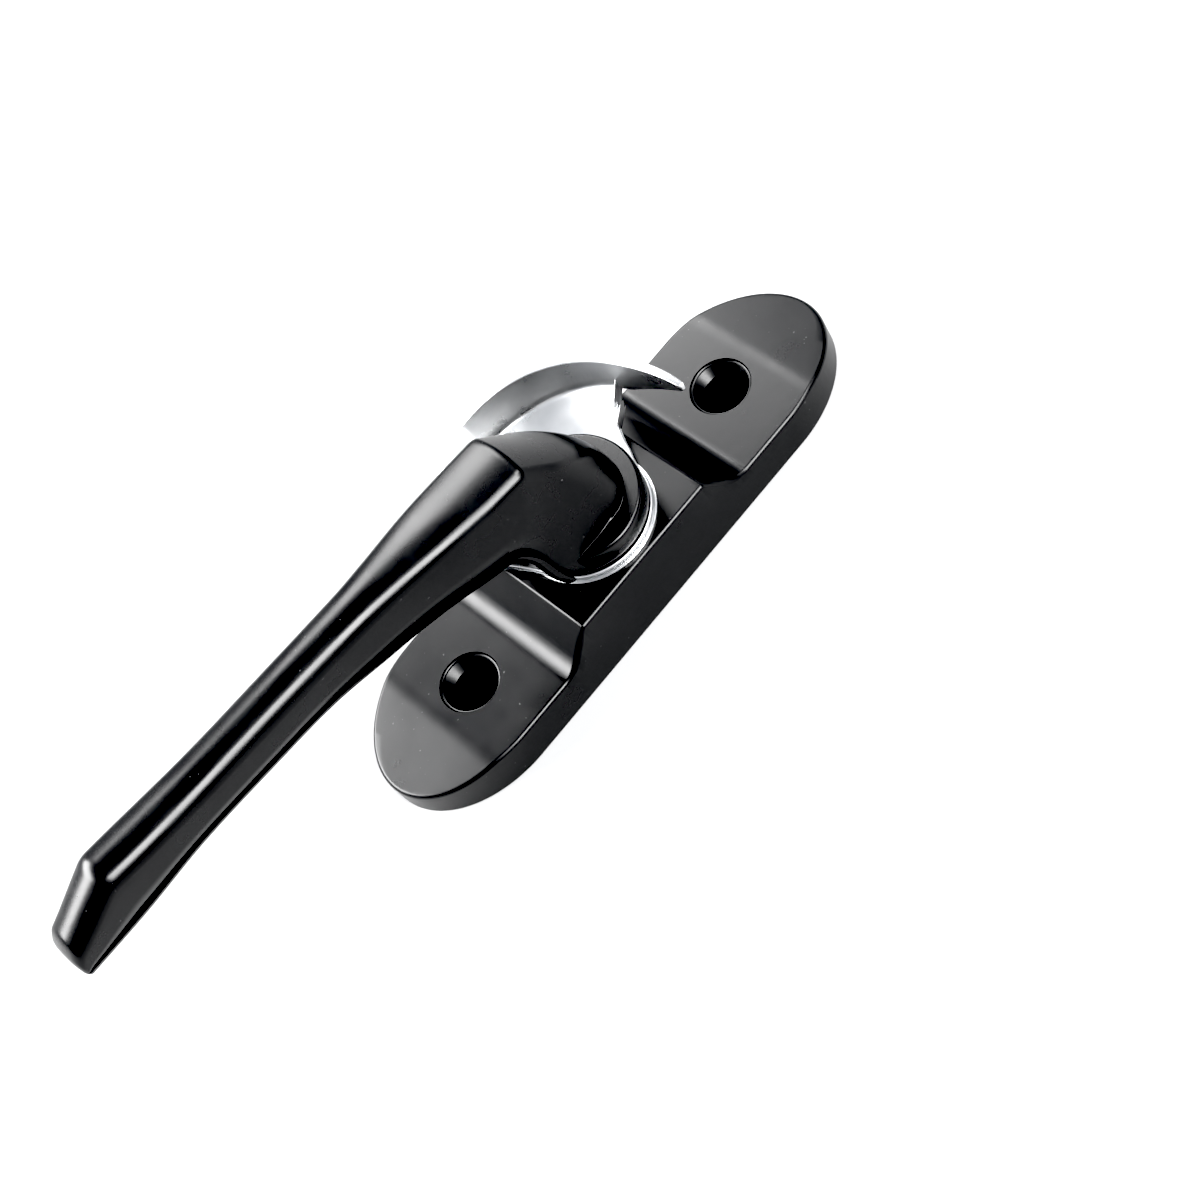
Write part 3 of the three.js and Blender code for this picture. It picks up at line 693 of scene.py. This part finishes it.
# Lever: each line is a smooth curve through a few stations, (x, value) or (x, z)
LEVER_TOP = [(-3.6, 35), (-10, 35.7), (-20, 37), (-38, 38.6), (-55, 39.9), (-69.5, 41.8)]
LEVER_TIP = [(-79.3, 34.6), (-78.4, 37.3), (-69.5, 41.8)]
LEVER_UNDER = [(-11.5, 24.6), (-20, 26.4), (-29, 28), (-38, 30.2)]
LEVER_UNDER += [(-48, 31.2), (-60, 32.2), (-70, 31.8), (-79.3, 31.6)]
LEVER_HALF = [(-9, 4.9), (-16, 4.45), (-24, 3.7), (-31, 3.3), (-48, 3.15), (-66, 3.35), (-79.3, 3)]
HUB_FRONT = [(-3.6, 35), (1.2, 29.3), (3.7, 26.2), (5.4, 23.2), (6.4, 19.7), (6.9, 15.6)]
HUB_BACK = [(-11.5, 24.6), (-10.9, 23.4), (-10.2, 21.6), (-9.9, 19.5), (-9.6, 17.5), (-8.9, 15.6)]
HUB_OPENING = [  # how much wider to each side the hub is than the arm's end, by height
    (15.6, 2.4), (17.6, 2.07), (23, 1.1), (26, 0.6), (29, 0.2), (32, 0), (36, 0),
]
LEVER = {
    "bottom": LEVER_LOW[2],
    "collar_top": 17.6,
    "collar_radius": 8.75,
    "collar_reach": 9.5,  # the collar's top is a little wider across the lever than along it
    "collar_foot": 0.3,
    "collar_edge": 0.45,
    "bore_top": 24.3,
    "edge": 1.25,
    "crown": 0.8,  # the lever's front stands this much prouder in its middle than at its edges
    "arm_crown": 1.15,  # and by this much along the arm
    "crown_from": -12,
    "crown_to": -30,
    "draft_end": -29,  # past this the arm's sides are upright
    "back_x": -11.5,  # where the arm's underside turns down into the hub's back
    "nose_from": 0.2,  # the hub's front grows from here
    "nose_length": 4.6,  # into a half ellipse of this length
    "tip_round": 0.6,
}
BEND_SOFT = 0.016  # how much of the hub's length the bend is rounded over, to each side

lever_half_line = through(LEVER_HALF)
lever_under_line = through(LEVER_UNDER)
lever_top_line = through(LEVER_TOP)
hub_opening_line = through(HUB_OPENING)


def lever_top(x):
    tip_x, tip_z = zip(*LEVER_TIP)

    def line(u):
        return np.interp(u, tip_x, tip_z) if u < tip_x[-1] else lever_top_line(u)

    return softened(line, x, 0.8 if x < tip_x[-1] + 2 else 0.2)


def lever_half(x, z):
    """Half width at a place on the lever's side: the hub is drafted, the arm upright."""
    opening = hub_opening_line(z) * smoothstep(x, LEVER["draft_end"], LEVER["back_x"])
    return float(lever_half_line(min(x, LEVER_HALF[0][0])) + opening)


def lever_crown(x):
    grown = smoothstep(-x, -LEVER["crown_from"], -LEVER["crown_to"])
    return LEVER["crown"] + (LEVER["arm_crown"] - LEVER["crown"]) * grown


def lever_section(back, front, corner_long, corner_wide, inset=0.0):
    """The lever's outline in the plane of two points, one on its back and one on its crowned front."""
    back, front = np.array(back, float), np.array(front, float)
    length = float(np.linalg.norm(front - back))
    along = (front - back) / length
    back_half = lever_half(*back) - inset
    front_half = lever_half(*front) - inset
    back_round = min(LEVER["edge"], length / 3)
    crown = min(lever_crown(front[0]), length / 6)
    long = min(corner_long, (length + corner_long) / 3)

    def crowned(v, y):
        return v - crown * (y / front_half) ** 2, y

    side = []
    for across, drop in quarter(7)[::-1]:
        side.append((inset + back_round * across, back_half - back_round * drop))
    for s in np.linspace(0.2, 0.8, 4):
        v = inset + back_round + (length - long - crown - back_round - 2 * inset) * s
        side.append((v, back_half + (front_half - back_half) * v / length))
    for across, drop in quarter(12):
        side.append(crowned(length - inset - long * drop, front_half - corner_wide * across))
    flat = side[-1][1]
    crest = [crowned(length - inset, flat * s) for s in np.linspace(0.8, -0.8, 9)]
    v0, y0 = side[0]
    keel = [(v0, y0 * s) for s in (-0.5, 0.0, 0.5)]
    loop = side + crest + [(v, -y) for v, y in reversed(side)] + keel
    return [(back[0] + along[0] * v, y, back[1] + along[1] * v) for v, y in loop]


def arm_sections():
    """From the rounded tip to where the arm meets the hub."""
    edge, tip, r = LEVER["edge"], LEVER_LOW[0], LEVER["tip_round"]
    stations = [(tip + r * across, r * drop) for across, drop in quarter(8)[:-1]]
    fine = np.linspace(tip + r, -67, 40)
    coarse = np.linspace(-67, LEVER["back_x"], 70)[1:]
    stations += [(x, 0.0) for x in [*fine, *coarse]]
    return [
        lever_section((x, float(lever_under_line(x))), (x, lever_top(x)), edge, edge, inset)
        for x, inset in stations
    ]


def hub_sections():
    """From the end of the arm round the sharp bend to the foot, whose front is a half ellipse."""
    count, fine, bend_at = 60, 14, 1 / len(HUB_FRONT)
    shares = list(np.linspace(0, 1, count + 1)[1:])
    shares += list(np.linspace(bend_at - BEND_SOFT, bend_at + BEND_SOFT, fine))
    shares = sorted(set(np.round(shares, 4)))
    top_line = [(x, lever_top(x)) for x in np.linspace(LEVER["back_x"], HUB_FRONT[0][0], 200)]
    whole = np.vstack([top_line, catmull_rom(HUB_FRONT, 1001)[1:]])
    at = np.concatenate([np.linspace(0, bend_at, 200), np.linspace(bend_at, 1, 1001)[1:]])
    back = catmull_rom(HUB_BACK, 1201)
    edge, nose = LEVER["edge"], LEVER["nose_length"]
    sections = []
    for share in shares:
        near = np.clip(share + BEND_SOFT * np.linspace(-1, 1, 9), 0, 1) if share < 2 * bend_at else [share]
        f = np.array([np.mean(np.interp(near, at, whole[:, axis])) for axis in (0, 1)])
        b = back[int(round(share * 1200))]
        grown = smoothstep(f[0], LEVER["nose_from"], HUB_FRONT[-1][0] - 0.5)
        wide = lever_half(*f) * 0.985
        sections.append(lever_section(b, f, edge + (nose - edge) * grown, edge + (wide - edge) * grown))
    return sections


def collar():
    """A round collar that widens across the lever towards its top."""
    edge, radius, reach = LEVER["collar_edge"], LEVER["collar_radius"], LEVER["collar_reach"]
    bottom, top, foot = LEVER["bottom"], LEVER["collar_top"], LEVER["collar_foot"]
    rings = [(radius - foot, radius - foot, bottom), (radius, radius, bottom + foot)]
    for s in np.linspace(0.15, 0.85, 5):
        z = bottom + foot + (top - edge - bottom - foot) * s
        rings.append((radius, radius + (reach - radius) * s, z))
    for across, drop in quarter(9):
        rings.append((radius - edge * across, reach - edge * across, top - edge * drop))
    rings.append((radius * 0.5, reach * 0.5, top))
    turns = np.linspace(0, 2 * math.pi, 129)[:-1]
    return skin("collar", [
        [(long * math.cos(a), wide * math.sin(a), z) for a in turns] for long, wide, z in rings
    ])


def make_lever(paint):
    lever = skin("cranked_lever", arm_sections() + hub_sections())
    combine(lever, collar(), "UNION")
    square = [(x * SQUARE_HALF, y * SQUARE_HALF) for x, y in [(-1, -1), (1, -1), (1, 1), (-1, 1)]]
    combine(lever, prism("square", square, LEVER["bottom"] - 1, LEVER["bore_top"]), "DIFFERENCE")
    finish_piece(lever, "turning_lever", "handle_lever", paint, 40)


# Small pieces that keep their modelled shape
BROKEN_EDGE = 0.1
SHIM_EDGE = 0.04


def dress(node, material, bevel):
    """Gives a modelled piece its material, broken edges and smooth rounds."""
    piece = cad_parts[node]
    piece.data.materials.clear()
    piece.data.materials.append(material)
    flat = piece.modifiers.new("flat", "DECIMATE")
    flat.decimate_type = "DISSOLVE"
    flat.angle_limit = math.radians(1)
    broken = piece.modifiers.new("broken", "BEVEL")
    broken.width = bevel * MM
    broken.segments = 3
    broken.limit_method = "ANGLE"
    broken.angle_limit = math.radians(40)
    broken.use_clamp_overlap = True
    smooth = piece.modifiers.new("weighted", "WEIGHTED_NORMAL")
    smooth.keep_sharp = True
    for polygon in piece.data.polygons:
        polygon.use_smooth = True


def main():
    add_camera()
    for softbox in SOFTBOXES:
        add_softbox(*softbox)
    add_world()
    set_levels()
    add_floor()
    # a black sheet of painted shade under the base, seen through the screw holes
    add_painted_shade_mat()
    make_base(paint_material("base_paint", 0.30))
    make_lever(paint_material("lever_paint", 0.26))
    plating = plating_material()
    make_cam(plating)
    zinc, spring, brass = [metal_material(name, *look) for name, look in METALS.items()]
    finishes = {
        "pivot_bush": brass,
        "cam_thrust_washer": nylon_material(),
        "cam_shim": plating,
        "detent_spring_front": spring,
        "detent_spring_rear": spring,
        "disc_spring": spring,
        "retainer_plate": zinc,
        "retainer_screw_left": zinc,
        "retainer_screw_right": zinc,
        "stop_pin": zinc,
        "spindle": zinc,
        "detent_plate": zinc,
        "stop_plate": zinc,
        "flat_washer": zinc,
        "hex_nut": zinc,
    }
    for node, material in finishes.items():
        dress(node, material, SHIM_EDGE if node == "cam_shim" else BROKEN_EDGE)


main()
